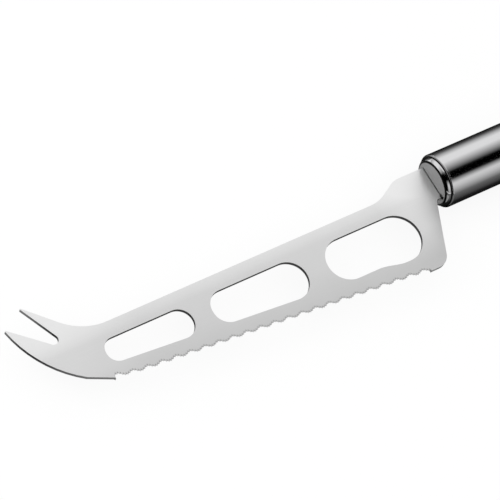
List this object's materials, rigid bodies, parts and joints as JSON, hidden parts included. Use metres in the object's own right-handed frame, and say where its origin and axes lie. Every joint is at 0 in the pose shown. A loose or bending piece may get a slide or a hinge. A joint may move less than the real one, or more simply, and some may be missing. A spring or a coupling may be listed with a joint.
{
  "type": "cheese knife",
  "caption": "Fork-tipped knife with a long, flat, pierced blade, a scalloped and finely toothed edge, and a round tube handle closed by a stepped plug and an end cap.",
  "frame": {"origin": "centre of the handle tube's front rim, on the handle's axis", "axes": "+X along the handle's axis from the fork to the butt, +Y in the blade's plane towards the spine, +Z square to the blade"},
  "size_m": [0.2898, 0.0424, 0.018],
  "materials": {
    "blade_steel": "satin, fine grain along the blade",
    "plug_steel": "polished shoulder round a fine turned face",
    "pin_steel": "drawn bar",
    "tube_steel": "satin, close to polished",
    "cap_steel": "satin, close to polished"
  },
  "bodies": {
    "root": {"blade": "blade_steel", "front_plug": "plug_steel", "cross_pin": "pin_steel", "handle_tube": "tube_steel", "end_cap": "cap_steel"}
  },
  "joints": []
}
